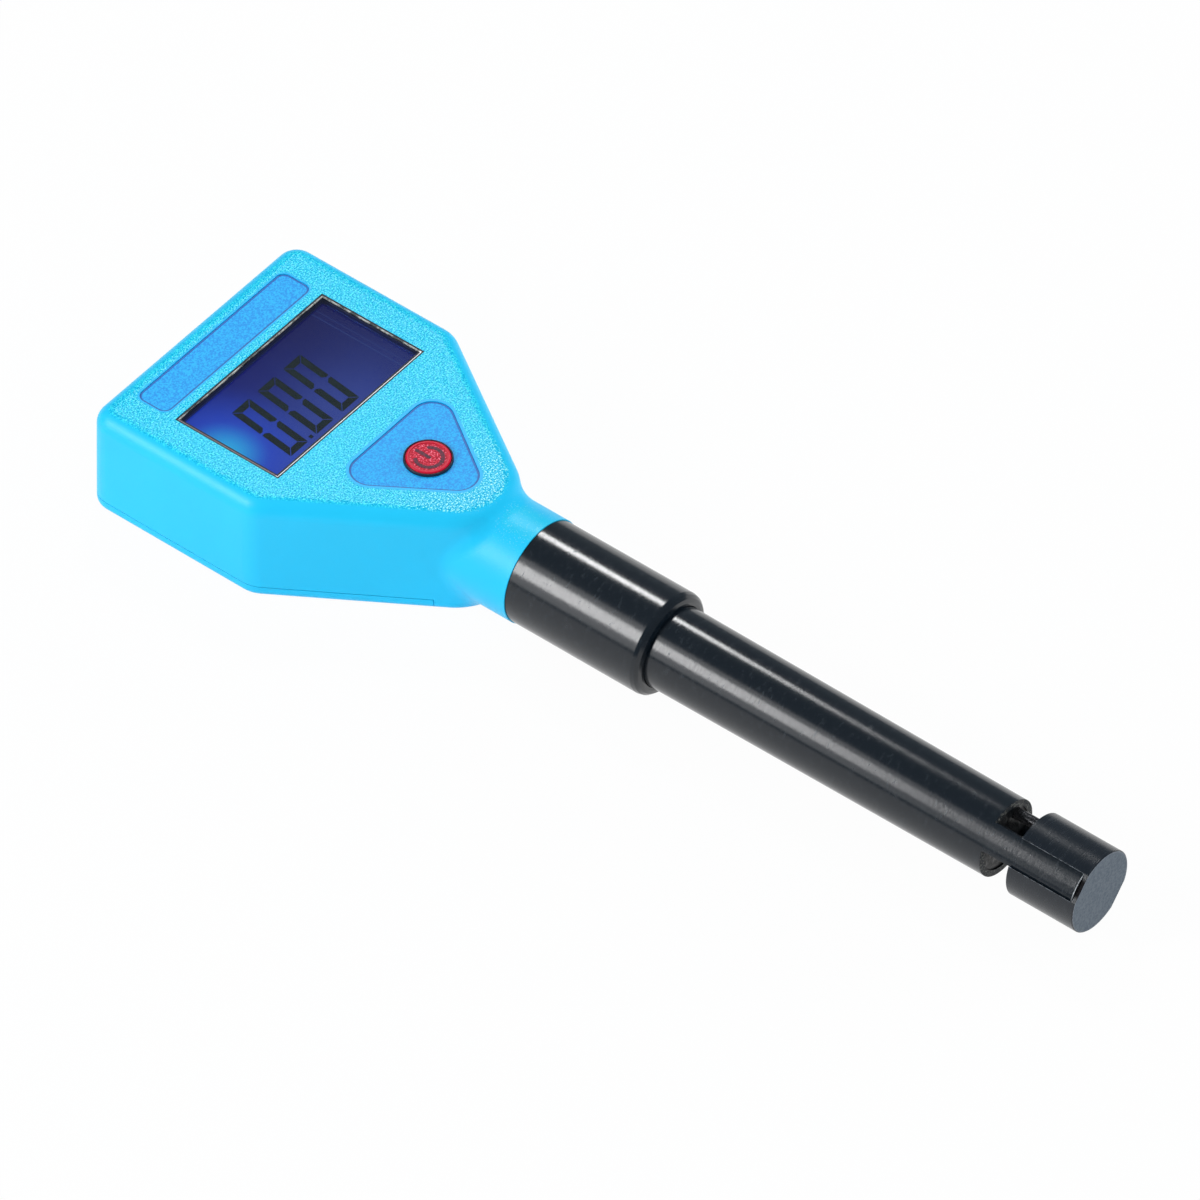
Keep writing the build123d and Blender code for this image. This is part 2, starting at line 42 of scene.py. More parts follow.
# Colours, linear
SKY_BLUE = (0.010, 0.630, 0.940, 1)
# Bluer hue of the walls: painted shade
SKY_WALL_PAINTED_SHADE = (0.010, 0.620, 1.000, 1)
SKY_GLINT = (0.500, 1.000, 1.000, 1)
# Pale specks of the grain: partly its own tone, partly painted sparkle
SKY_SPECK_AND_SPARKLE = (0.050, 0.960, 1.000, 1)
SKY_DEEP = (0.001, 0.400, 0.700, 1)
# Band round the films, darker as painted shade
BORDER_SHADE_DARK = (0.003, 0.480, 0.960, 1)
BORDER_SHADE_LIGHT = (0.006, 0.540, 1.000, 1)
FILM_BLUE = (0.001, 0.300, 0.840, 1)
FILM_PALE = (0.022, 0.520, 1.000, 1)
# Line along the films' edges: painted shadow
FILM_SHADOW_LINE = (0.001, 0.110, 0.420, 1)
FILM_SHADOW_LINE_PALE = (0.002, 0.160, 0.560, 1)
BUTTON_RED = (0.640, 0.006, 0.036, 1)
BUTTON_DEEP = (0.240, 0.003, 0.014, 1)
BUTTON_SPECK_AND_SPARKLE = (1.000, 0.240, 0.340, 1)
BLACK = (0.004, 0.008, 0.013, 1)
BLACK_BLOCK = (0.005, 0.009, 0.015, 1)
# Recess at the tip: painted shade
BLACK_RECESS_SHADE = (0.001, 0.001, 0.002, 1)
BLACK_SCUFF = (0.040, 0.048, 0.058, 1)
CUT_GREY = (0.115, 0.137, 0.165, 1)
CUT_PALE = (0.165, 0.190, 0.215, 1)
CUT_CRUMB = (0.240, 0.240, 0.210, 1)
PANE_TINT = (0.930, 0.960, 1.000, 1)
# Window rim: a painted glint
RIM_SHADE = (0.050, 0.060, 0.060, 1)
RIM_GLINT_PALE = (0.550, 0.560, 0.530, 1)
RIM_GLINT_DARK_SPOT = (0.030, 0.040, 0.050, 1)
RIM_GLINT_LEFT = (0.300, 0.220, 0.260, 1)
RIM_GLINT_NEAR = (1.000, 1.000, 1.000, 1)
LIT_LEFT = (0.000, 0.004, 0.160, 1)
LIT_RIGHT = (0.000, 0.000, 0.070, 1)
LIT_LOWER = (0.032, 0.058, 0.290, 1)
LIT_HALO = (0.012, 0.060, 0.560, 1)
LIT_GLOW = (0.018, 0.400, 0.740, 1)
LIT_SEAL = (0.020, 0.045, 0.190, 1)
GLASS_DARK = (0.001, 0.002, 0.010, 1)
GLASS_LIGHT = (0.002, 0.004, 0.018, 1)
DIGIT_DARK = (0.001, 0.007, 0.008, 1)
DIGIT_LIGHT = (0.005, 0.012, 0.009, 1)
SIGN_GREY = (0.018, 0.018, 0.030, 1)
SIGN_RED = (0.220, 0.030, 0.060, 1)
MASK_GREEN = (0.012, 0.160, 0.060, 1)
TRACK_GREEN = (0.030, 0.260, 0.100, 1)
BOARD_EDGE = (0.350, 0.330, 0.170, 1)
CELL_BLACK = (0.020, 0.022, 0.026, 1)
CELL_COPPER = (0.650, 0.330, 0.060, 1)
CELL_END = (0.650, 0.640, 0.600, 1)
STRIP_DARK = (0.020, 0.020, 0.022, 1)
STRIP_LIGHT = (0.420, 0.420, 0.440, 1)
FLOOR_PALE = (0.860, 0.870, 0.880, 1)
WORLD_PALE = (0.780, 0.900, 1.000, 1)
WHITE = (1, 1, 1, 1)

# Probe: its axis above the floor in metres, and places along it in millimetres
PROBE_HEIGHT = 10.4 * MM
TIP_FACE = -102.0
GAP_REACH = (-90.0, -20.0)
# Radii of the painted shade in the recess at the tip
RECESS_SHADE_RADII = (7.75, 7.55)

# Case: the reach in which its grain fades into the round neck, in millimetres
NECK_REACH = (34.0, 31.0)
# Reach along Y over which the painted glints near the nose fade in
GLINT_REACH = (46.0, 36.0)

# Battery cells, in millimetres
CELL_BAND_START = 80.0

# Display, in millimetres, with its seal's lines as (x, strength)
LIT_REACH = (-20.0, 19.0)
GLOW_PLACE = (-19.6, 77.4)
GLOW_WEIGHTS = (1.0, 0.85, 0)
SEAL_LINES = ((16.8, 0.45), (18.0, 0.25))
POLARISER_TOP = 19.95
DIGIT_WIDTH = 4.85
DIGIT_HEIGHT = 15.1
DIGIT_PITCH = 7.2
DIGIT_START = (-13.45, 67.65)
DIGIT_SLANT = 1.75
DIGIT_COUNT = 3
SEGMENT_WIDTH = 1.42
SEGMENT_GAP = 0.10
SEGMENT_THICKNESS = 0.03
SIDE_OUTER = 0.30
SIDE_MIDDLE = 0.25
SIDE_INNER = 0.85
POINT_SIZE = 0.75
POINT_OFFSET = 0.85

# Power sign on the button, in millimetres
BUTTON_PLACE = (0.0, 47.15)
DISH_RADII = (3.45, 3.25)
DISH_FLOOR = 23.05
SIGN_RADIUS = 2.5
SIGN_STROKE = 0.72
SIGN_OPENING = 100.0
SIGN_THICKNESS = 0.04
SIGN_SHIFT = -0.15
BAR_ABOVE = 0.3
# Dark ring round the button: painted shade in its gap
RING_OUTER = 4.50
RING_INNER = 4.17
RING_TOP = 23.08
RING_LOW = 21.9

# Face and printed films, in millimetres
FACE_TOP = 22.7
NECK_TOP = 22.0
FILM_TOP = 22.5
FILM_FIT = 0.05
# Width of the painted shadow line along each film's edge
SHADOW_LINE_WIDTH = 0.36
LINE_THICKNESS = 0.02
LABEL_PLACE = (0.0, 94.0)
LABEL_SIZE = (41.3, 7.1)
LABEL_RADIUS = 1.8
LABEL_BORDER = 0.30
KEYPAD_CORNERS = ((-16.1, 57.2), (0.0, 33.4), (16.1, 57.2))
KEYPAD_RADIUS = 4.0
KEYPAD_BORDER = 0.55

# Window, in millimetres
PANE_CHAMFER = 0.06
# Dark strip at the opening's edge and dark band inside the rim: painted shade; the rim: a painted glint
EDGE_SHADE_WIDTH = 0.26
EDGE_SHADE_TOP = 22.64
RIM_GLINT_END = 0.44
RIM_GLINT_TOP = 22.58
RIM_GLINT_LEFT_PLACE = (-19.9, -20.1)
RIM_GLINT_NEAR_PLACE = (65.6, 65.4)
WINDOW_SHADE_NEAR = 0.95
WINDOW_SHADE_FAR = 0.56
WINDOW_SHADE_THICKNESS = 0.02

# Tongue in the end block, in millimetres, with its turn from +X towards +Z in degrees
TONGUE_TURN = 138.0
TONGUE_HALF_TURN = 20.0
TONGUE_END = -101.2
BLOCK_START = -87.9
SEAM_RADIUS = 8.03
SEAM_RISE = 0.04
SEAM_HALF_TURN = 0.45
EDGE_DEPTH = 0.25
EDGE_RISE = 0.16
EDGE_LENGTH = 0.12

# Case screws, in millimetres
SCREW_PLACES = ((-23.7, 96.6), (23.7, 96.6), (-18.46, 56.5), (18.46, 56.5))
HEAD_RADIUS = 2.1
HEAD_LOW = 0.1
HEAD_THICKNESS = 1.2
SHANK_RADIUS = 1.1
SHANK_TOP = 10.3
CROSS_LENGTH = 2.3
CROSS_WIDTH = 0.55
CROSS_DEPTH = 0.8
CROSS_TAPER = (1.15, 0.55)
HEAD_CHAMFER = 0.12
SHANK_TAPER = 0.6
SHANK_TIP_RADIUS = 0.5
FIRST_TURN = 17
TURN_STEP = 31

# Lamps that show on the probe: turn in degrees, distance in metres, width in degrees, reach along Y, radiance
BANDS = {
    "lamp_right": (58.3, 0.6, 9.6, (-0.040, 0.050), 27.5),
    "box_left": (144, 0.8, 21, (-0.075, 0.12), 12.0),
    "box_left_skirt": (147, 0.82, 58, (-0.10, 0.40), 2.0),
}

# Fill lamps: place, direction towards the lamp, size, radiance, direction of the second side
FILLS = {
    "fill_front": ((-0.6, -0.85, 0.6), (-0.55, -0.75, 0.50), (0.9, 0.6), 2.3, (0, 0, 1)),
    "fill_top": ((0.0, -0.30, 1.2), (0.0, -0.25, 1.0), (0.6, 0.6), 1.2, (0, 1, 0)),
    "fill_right": ((1.0, -0.55, 0.30), (1.0, -0.55, 0.30), (0.9, 0.45), 5.5, (0, 0, 1)),
}
WORLD_STRENGTH = 0.28
FLOOR_HALF = 6.0
FLOOR_WHITE_SHARE = 0.965

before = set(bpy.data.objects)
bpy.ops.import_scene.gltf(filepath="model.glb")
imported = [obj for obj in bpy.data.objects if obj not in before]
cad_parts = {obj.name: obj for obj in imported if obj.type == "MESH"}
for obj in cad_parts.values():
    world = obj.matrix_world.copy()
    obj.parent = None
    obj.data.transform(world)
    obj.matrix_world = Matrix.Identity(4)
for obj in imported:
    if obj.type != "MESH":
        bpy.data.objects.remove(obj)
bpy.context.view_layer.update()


class Finish:
    """A procedural material under construction, with its coordinates in millimetres."""

    def __init__(self, name):
        self.material = bpy.data.materials.new(name)
        self.material.use_nodes = True
        self.tree = self.material.node_tree
        self.shader = self.tree.nodes["Principled BSDF"]
        self.output = self.tree.nodes["Material Output"]
        place = self.add("TexCoord")
        self.normal = place.outputs["Normal"]
        scaled = self.add("VectorMath", {0: place.outputs["Object"], 3: 1 / MM}, operation="SCALE")
        self.place = scaled.outputs[0]

    def add(self, kind, inputs=None, **settings):
        """A new node, with its settings and its inputs by name or number."""
        node = self.tree.nodes.new("ShaderNode" + kind)
        for name, value in settings.items():
            setattr(node, name, value)
        for name, value in (inputs or {}).items():
            self.feed(node.inputs[name], value)
        return node

    def feed(self, socket, value):
        """Sets a socket, or links it where the value is another node's socket."""
        if isinstance(value, bpy.types.NodeSocket):
            self.tree.links.new(value, socket)
        else:
            socket.default_value = value

    def shade(self, **inputs):
        """Sets the main shader's inputs, with underscores for the spaces in their names."""
        for name, value in inputs.items():
            self.feed(self.shader.inputs[name.replace("_", " ")], value)
        return self

    def axis(self, number, vector=None):
        """One coordinate: 0 for X, 1 for Y, 2 for Z."""
        return self.add("SeparateXYZ", {0: vector or self.place}).outputs[number]

    def stretched(self, x, y, z):
        """The coordinates, each multiplied by its own number."""
        return self.add("VectorMath", {0: self.place, 1: (x, y, z)}, operation="MULTIPLY").outputs[0]

    def distance(self, middle, weights):
        """Distance from a point in millimetres, each axis counted by its weight."""
        offset = self.add("VectorMath", {0: self.place, 1: middle}, operation="SUBTRACT").outputs[0]
        offset = self.add("VectorMath", {0: offset, 1: weights}, operation="MULTIPLY").outputs[0]
        return self.add("VectorMath", {0: offset}, operation="LENGTH").outputs["Value"]

    def noise(self, scale, detail=2.0, roughness=0.5, vector=None):
        """Cloudy noise from 0 to 1, finer with a larger scale."""
        inputs = {"Vector": vector or self.place, "Scale": scale, "Detail": detail, "Roughness": roughness}
        return self.add("TexNoise", inputs).outputs[0]

    def math(self, operation, a, b=0.0):
        """One sum, product or comparison of two values."""
        return self.add("Math", {0: a, 1: b}, operation=operation).outputs[0]

    def spread(self, value, low, high, start=0.0, end=1.0):
        """The value's range from low to high, turned smoothly into start to end."""
        inputs = {0: value, 1: low, 2: high, 3: start, 4: end}
        return self.add("MapRange", inputs, interpolation_type="SMOOTHSTEP").outputs[0]

    def mix(self, factor, a, b):
        """Colour a where the factor is 0 and b where it is 1."""
        return self.add("Mix", {0: factor, 6: a, 7: b}, data_type="RGBA").outputs[2]

    def bump(self, height, strength, depth, below=None):
        """A normal from a height, whose full range is depth millimetres."""
        inputs = {"Height": height, "Strength": strength, "Distance": depth * MM}
        if below:
            inputs["Normal"] = below
        return self.add("Bump", inputs).outputs[0]

    def soft_edges(self, radius):
        """The normal with its sharp edges rounded over a radius in millimetres."""
        return self.add("Bevel", {"Radius": radius * MM}, samples=4).outputs[0]


def case_finish():
    """Sky-blue moulding: spark texture on the upward faces, satin on the walls. The walls get a bluer hue as
    painted shade, the grain's pale specks are partly painted sparkle, and the glints are painted highlights.
    """
    made = Finish("sky_blue_moulding")
    up = made.axis(2, made.normal)
    on_face = made.math("GREATER_THAN", made.axis(2), NECK_TOP)
    flat = made.math("MULTIPLY", made.spread(up, 0.90, 0.99), on_face)
    grain = made.noise(3.3, 1.0, 0.6)
    on_neck = made.spread(made.axis(1), *NECK_REACH)
    neck = made.math("MULTIPLY", on_neck, made.spread(up, 0.10, 0.70, 0.0, 0.42))
    # Pale specks of the grain: partly its own tone, partly painted sparkle highlights.
    speck_and_sparkle = made.math("MULTIPLY", made.spread(grain, 0.50, 0.66), flat)
    dark = made.math("MULTIPLY", made.spread(grain, 0.50, 0.34), flat)
    clouds = made.noise(0.05, 3.0)
    # Walls take a bluer hue than the face: painted shade.
    colour = made.mix(made.spread(up, 0.90, 0.99), SKY_WALL_PAINTED_SHADE, SKY_BLUE)
    colour = made.mix(made.spread(clouds, 0.35, 0.65, 0.0, 0.10), colour, SKY_DEEP)
    colour = made.mix(made.math("MULTIPLY", speck_and_sparkle, 0.9), colour, SKY_SPECK_AND_SPARKLE)
    colour = made.mix(made.math("MULTIPLY", dark, 0.9), colour, SKY_DEEP)
    # Painted glints: white specks near the nose, and sparse ones on the neck.
    glint = made.math("MULTIPLY", made.spread(grain, 0.56, 0.66), flat)
    glint = made.math("MULTIPLY", glint, made.spread(made.axis(1), *GLINT_REACH, 0.0, 0.85))
    sparse = made.math("MULTIPLY", made.spread(grain, 0.60, 0.68), made.spread(up, 0.80, 0.95, 0.0, 0.5))
    glint = made.math("MAXIMUM", glint, made.math("MULTIPLY", sparse, neck))
    colour = made.mix(glint, colour, SKY_GLINT)
    rough = made.math("SUBTRACT", made.spread(made.noise(6.0, 1.0), 0.35, 0.65, 0.36, 0.46),
                      made.math("MULTIPLY", flat, 0.10))
    gloss = made.spread(grain, 0.36, 0.62, 0.05, 0.65)
    gloss = made.math("ADD", made.math("MULTIPLY", gloss, flat),
                      made.math("MULTIPLY", made.math("SUBTRACT", 1.0, flat), 0.40))
    grainy = made.math("ADD", made.math("MAXIMUM", flat, neck), 0.04)
    relief = made.bump(grain, grainy, 0.07, made.soft_edges(0.15))
    return made.shade(Base_Color=colour, Roughness=rough, Normal=relief, Specular_IOR_Level=gloss).material


def border_finish():
    """Smooth band of the moulding round a film, darker than the face as painted shade of the rounded edge
    there.
    """
    made = Finish("smooth_border")
    fine = made.noise(5.0, 1.0)
    colour = made.mix(made.spread(fine, 0.3, 0.7), BORDER_SHADE_DARK, BORDER_SHADE_LIGHT)
    relief = made.bump(fine, 0.3, 0.02)
    return made.shade(Base_Color=colour, Roughness=0.42, Normal=relief, Specular_IOR_Level=0.4).material


def film_finish():
    """Deeper blue printed film with a fine, low grain."""
    made = Finish("blue_film")
    grain = made.noise(3.0, 1.0, 0.6)
    colour = made.mix(made.spread(grain, 0.36, 0.64), FILM_BLUE, FILM_PALE)
    relief = made.bump(grain, 0.6, 0.04)
    rough = made.spread(grain, 0.3, 0.7, 0.42, 0.52)
    return made.shade(Base_Color=colour, Roughness=rough, Normal=relief, Specular_IOR_Level=0.35).material


def button_finish():
    """Red cap: grainy in its dish, smooth on its rim. The dish's pale specks are partly the grain's own tone
    and partly painted sparkle.
    """
    made = Finish("red_cap")
    dish = made.spread(made.distance(BUTTON_PLACE + (0,), (1, 1, 0)), *DISH_RADII)
    grain = made.noise(3.0, 1.0, 0.6)
    speck_and_sparkle = made.math("MULTIPLY", made.spread(grain, 0.54, 0.68), dish)
    dark = made.math("MULTIPLY", made.spread(grain, 0.48, 0.34, 0.0, 0.8), dish)
    colour = made.mix(dark, made.mix(speck_and_sparkle, BUTTON_RED, BUTTON_SPECK_AND_SPARKLE), BUTTON_DEEP)
    relief = made.bump(grain, made.math("MULTIPLY", dish, 0.8), 0.06, made.soft_edges(0.08))
    rough = made.spread(dish, 0.0, 1.0, 0.38, 0.48)
    return made.shade(Base_Color=colour, Roughness=rough, Normal=relief, Specular_IOR_Level=0.25).material


def black_finish(name, base, added_rough):
    """Polished black plastic with turning marks and light scuffs, rough sawn ends at the probe's tip, and
    painted shade in the recess past the tongue's end.
    """
    made = Finish(name)
    along = made.axis(1)
    end_on = made.spread(made.axis(1, made.normal), -0.75, -0.92)
    tip = made.math("MULTIPLY", end_on, made.math("LESS_THAN", along, TIP_FACE))
    kerf = made.math("MULTIPLY", end_on, made.math("LESS_THAN", along, GAP_REACH[1]))
    kerf = made.math("MULTIPLY", kerf, made.math("GREATER_THAN", along, GAP_REACH[0]))
    marks = made.noise(1.0, 3.0, 0.6, made.stretched(0.40, 3.2, 0.40))
    strokes = made.noise(1.0, 2.0, 0.6, made.stretched(1.5, 3.6, 1.5))
    scuffs = made.noise(1.0, 4.0, 0.65, made.stretched(0.5, 0.9, 0.5))
    specks = made.noise(2.2, 2.0)
    dirt = made.spread(specks, 0.70, 0.80, 0.0, 0.5)
    colour = made.mix(made.spread(scuffs, 0.50, 0.80, 0.0, 0.35), base, BLACK_SCUFF)
    colour = made.mix(dirt, colour, BLACK_SCUFF)
    crumbs = made.noise(3.0, 4.0, 0.7)
    colour = made.mix(made.math("MULTIPLY", kerf, made.spread(crumbs, 0.54, 0.61)), colour, CUT_CRUMB)
    # Painted shade: near black, with less gloss, in the recess past the tongue's end.
    inside = made.spread(made.distance((0, 0, PROBE_HEIGHT / MM), (1, 0, 1)), *RECESS_SHADE_RADII)
    recess_shade = made.math("MULTIPLY", inside, made.math("LESS_THAN", along, TONGUE_END + 0.02))
    colour = made.mix(recess_shade, colour, BLACK_RECESS_SHADE)
    grey = made.mix(made.spread(made.noise(2.5, 3.0), 0.3, 0.7), CUT_GREY, CUT_PALE)
    colour = made.mix(tip, colour, grey)
    rough = made.spread(marks, 0.3, 0.7, 0.15 + added_rough, 0.20 + added_rough)
    rough = made.math("ADD", rough, made.math("MULTIPLY", made.math("MAXIMUM", kerf, tip), 0.40))
    rough = made.math("ADD", rough, made.spread(scuffs, 0.55, 0.85, 0.0, 0.12))
    gloss = made.math("SUBTRACT", 0.5, made.math("MULTIPLY", recess_shade, 0.45))
    turned = made.bump(strokes, 0.5, 0.020, made.soft_edges(0.12))
    dents = made.bump(specks, 0.15, 0.02, turned)
    torn = made.bump(crumbs, kerf, 0.45, dents)
    return made.shade(Base_Color=colour, Roughness=rough, Normal=torn, Specular_IOR_Level=gloss).material


def window_finish():
    """Clear acrylic. Shadow rays pass, so that the display below is lit."""
    made = Finish("clear_acrylic")
    haze = made.noise(0.6, 3.0)
    rough = made.spread(haze, 0.4, 0.8, 0.0, 0.005)
    made.shade(Base_Color=PANE_TINT, Roughness=rough, IOR=1.49, Transmission_Weight=1.0,
               Specular_IOR_Level=0.2)
    shadow = made.add("LightPath").outputs["Is Shadow Ray"]
    clear = made.add("BsdfTransparent", {"Color": PANE_TINT})
    mixed = made.add("MixShader", {0: shadow, 1: made.shader.outputs[0], 2: clear.outputs[0]})
    made.tree.links.new(mixed.outputs[0], made.output.inputs["Surface"])
    return made.material


def rim_glint_finish():
    """Painted glint along the window's rim: uneven, broken by dark spots, and whitest on its near side."""
    made = Finish("window_rim_glint")
    patches = made.noise(0.35, 3.0, 0.6)
    fine = made.noise(2.0, 2.0)
    colour = made.mix(made.spread(patches, 0.42, 0.58), RIM_SHADE, RIM_GLINT_PALE)
    colour = made.mix(made.spread(fine, 0.50, 0.66, 0.0, 0.7), colour, RIM_GLINT_DARK_SPOT)
    colour = made.mix(made.spread(made.axis(0), *RIM_GLINT_LEFT_PLACE), colour, RIM_GLINT_LEFT)
    colour = made.mix(made.spread(made.axis(1), *RIM_GLINT_NEAR_PLACE), colour, RIM_GLINT_NEAR)
    relief = made.bump(fine, 0.5, 0.03)
    return made.shade(Base_Color=colour, Roughness=0.25, Normal=relief).material


def display_finish():
    """Blue display lit from its left side, with the seal's lines near its right side."""
    made = Finish("lit_display")
    x = made.axis(0)
    y = made.axis(1)
    up = made.spread(made.axis(2, made.normal), 0.5, 0.9)
    colour = made.mix(made.spread(x, *LIT_REACH), LIT_LEFT, LIT_RIGHT)
    lower = made.math("MULTIPLY", made.spread(y, 88.0, 65.0), made.spread(x, 22.0, 0.0, 0.25, 0.85))
    colour = made.mix(lower, colour, LIT_LOWER)
    reach = made.distance(GLOW_PLACE + (0,), GLOW_WEIGHTS)
    colour = made.mix(made.spread(reach, 17.0, 3.0, 0.0, 0.85), colour, LIT_HALO)
    colour = made.mix(made.spread(reach, 7.5, 0.0, 0.0, 0.95), colour, LIT_GLOW)
    for line, share in SEAL_LINES:
        beside = made.math("ABSOLUTE", made.math("SUBTRACT", x, line))
        colour = made.mix(made.spread(beside, 0.20, 0.06, 0.0, share), colour, LIT_SEAL)
    cloud = made.noise(0.12, 2.0)
    glass = made.mix(made.spread(cloud, 0.3, 0.7), GLASS_DARK, GLASS_LIGHT)
    made.shade(Base_Color=glass, Roughness=0.4, Specular_IOR_Level=0.0, Emission_Color=colour)
    made.feed(made.shader.inputs["Emission Strength"], up)
    return made.material


def digit_finish():
    """Dark segments of the reading."""
    made = Finish("display_segment")
    cloud = made.noise(0.8, 2.0)
    colour = made.mix(made.spread(cloud, 0.3, 0.7, 0.0, 0.6), DIGIT_DARK, DIGIT_LIGHT)
    return made.shade(Base_Color=colour, Roughness=0.6, Specular_IOR_Level=0.0).material


def plain_finish(name, dark, light, scale, rough=(0.4, 0.55), depth=0.02, **inputs):
    """Moulded or cast stuff in two near colours, with grain of its own scale."""
    made = Finish(name)
    grain = made.noise(scale, 3.0)
    colour = made.mix(made.spread(grain, 0.3, 0.7), dark, light)
    relief = made.bump(grain, 0.5, depth)
    made.shade(Base_Color=colour, Roughness=made.spread(grain, 0.3, 0.7, *rough), Normal=relief, **inputs)
    return made.material


def metal_finish(name, dark, light, brushed=(0.5, 12.0, 0.5)):
    """Plated or brushed metal, with marks in one direction and dull spots."""
    made = Finish(name)
    marks = made.noise(1.0, 3.0, 0.6, made.stretched(*brushed))
    spots = made.noise(0.8, 3.0)
    colour = made.mix(made.spread(spots, 0.40, 0.75), light, dark)
    relief = made.bump(marks, 0.25, 0.01)
    rough = made.spread(marks, 0.3, 0.7, 0.20, 0.38)
    return made.shade(Base_Color=colour, Roughness=rough, Metallic=1.0, Normal=relief).material


def board_finish():
    """Green solder mask over copper tracks, with glass epoxy at its cut edges."""
    made = Finish("circuit_board")
    tracks = made.add("TexBrick", {"Vector": made.place, "Scale": 0.35, "Mortar Size": 0.04})
    track = tracks.outputs["Fac"]
    side = made.spread(made.math("ABSOLUTE", made.axis(2, made.normal)), 0.7, 0.3)
    colour = made.mix(track, MASK_GREEN, TRACK_GREEN)
    colour = made.mix(side, colour, BOARD_EDGE)
    relief = made.bump(track, 0.5, 0.04)
    return made.shade(Base_Color=colour, Roughness=0.30, Normal=relief).material


def cell_finish():
    """Printed sleeve over a cell, with its bare metal ends."""
    made = Finish("battery_sleeve")
    ends = made.spread(made.math("ABSOLUTE", made.axis(1, made.normal)), 0.6, 0.9)
    band = made.math("GREATER_THAN", made.axis(1), CELL_BAND_START)
    colour = made.mix(ends, made.mix(band, CELL_BLACK, CELL_COPPER), CELL_END)
    grain = made.noise(2.0, 3.0)
    rough = made.spread(grain, 0.3, 0.7, 0.22, 0.34)
    return made.shade(Base_Color=colour, Roughness=rough, Metallic=ends).material


def strip_finish():
    """Conductive strip in thin black and grey layers."""
    made = Finish("layered_strip")
    layers = made.add("TexWave", {"Vector": made.place, "Scale": 1.6, "Distortion": 0.2}, bands_direction="X")
    colour = made.mix(layers.outputs["Fac"], STRIP_DARK, STRIP_LIGHT)
    return made.shade(Base_Color=colour, Roughness=0.6).material


def dress(material, *names):
    """Gives a material to CAD nodes."""
    for name in names:
        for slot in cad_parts[name].material_slots:
            slot.material = material


def dress_case():
    """Finishes of what shows from outside."""
    dress(case_finish(), "front_case", "back_cover", "battery_door")
    dress(film_finish(), "label_plate", "keypad_overlay")
    dress(button_finish(), "power_button")
    dress(black_finish("polished_black", BLACK, 0.0), "sleeve", "probe_tube")
    dress(black_finish("scuffed_black", BLACK_BLOCK, 0.08), "end_block")


def dress_inside():
    """Finishes of what the case holds."""
    # The holder's navy blue is painted light from the display's glow.
    dress(plain_finish("holder_painted_display_glow", (0.002, 0.012, 0.100, 1), (0.004, 0.018, 0.140, 1), 3.0), "lcd_holder")
    dress(display_finish(), "lcd_panel")
    dress(strip_finish(), "zebra_strips")
    dress(plain_finish("light_guide", (0.75, 0.84, 0.92, 1), (0.90, 0.96, 1.0, 1), 1.5, (0.2, 0.35)),
          "backlight_panel", "backlight_led")
    dress(board_finish(), "main_board")
    dress(plain_finish("chip_epoxy", (0.010, 0.010, 0.011, 1), (0.030, 0.030, 0.032, 1), 9.0, (0.45, 0.65)),
          "controller_chip", "amplifier_chip", "boost_inductor", "switch_body", "switch_plunger")
    dress(plain_finish("nylon", (0.66, 0.63, 0.54, 1), (0.80, 0.78, 0.70, 1), 1.2),
          "sensor_header", "trimmer_rotor")
    dress(plain_finish("trimmer_blue", (0.012, 0.07, 0.42, 1), (0.025, 0.12, 0.58, 1), 2.0, (0.25, 0.4)),
          "trimmer_body")
    dress(cell_finish(), "battery_cell_left", "battery_cell_right")
    dress(metal_finish("nickel_plate", (0.50, 0.48, 0.43, 1), (0.74, 0.72, 0.67, 1)),
          "battery_springs", "battery_contacts", "battery_bridge", "clock_crystal", "power_capacitor")
    dress(plain_finish("ceramic", (0.40, 0.28, 0.18, 1), (0.55, 0.42, 0.30, 1), 4.0), "chip_capacitors")


def dress_probe():
    """Finishes of what shows in the measuring gap."""
    dress(plain_finish("cable_rubber", (0.010, 0.010, 0.010, 1), (0.025, 0.025, 0.026, 1), 2.0),
          "sensor_cable")
    dress(plain_finish("cast_epoxy", (0.004, 0.005, 0.006, 1), (0.014, 0.015, 0.016, 1), 1.1, (0.30, 0.55),
                       0.30, Specular_IOR_Level=0.3), "tip_carrier")
    dress(plain_finish("graphite", (0.020, 0.020, 0.022, 1), (0.060, 0.060, 0.065, 1), 3.0, (0.18, 0.32),
                       Metallic=0.6), "electrode_upper", "electrode_lower")
    dress(metal_finish("sensor_steel", (0.40, 0.40, 0.40, 1), (0.62, 0.62, 0.62, 1)), "temperature_sensor")


def piece(name, material, body):
    """An empty mesh piece on a body, with the slot that it takes its finish from."""
    mesh = bpy.data.meshes.new(name)
    mesh.materials.append(material)
    made = bpy.data.objects.new(name, mesh)
    bpy.context.scene.collection.objects.link(made)
    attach(made, body)
    return made


def fill(target, build, smooth=False):
    """Fills a piece's mesh by a function that takes a bmesh in millimetres."""
    shape = bmesh.new()
    build(shape)
    bmesh.ops.recalc_face_normals(shape, faces=shape.faces)
    bmesh.ops.scale(shape, vec=(MM, MM, MM), verts=shape.verts)
    for face in shape.faces:
        face.smooth = smooth
    shape.to_mesh(target.data)
    shape.free()
    return target


def prism(shape, outline, low, high):
    """A closed prism over an outline of (x, y) points."""
    bottom = [shape.verts.new((x, y, low)) for x, y in outline]
    top = [shape.verts.new((x, y, high)) for x, y in outline]
    shape.faces.new(bottom)
    shape.faces.new(top)
    for n in range(len(outline)):
        shape.faces.new((bottom[n - 1], bottom[n], top[n], top[n - 1]))


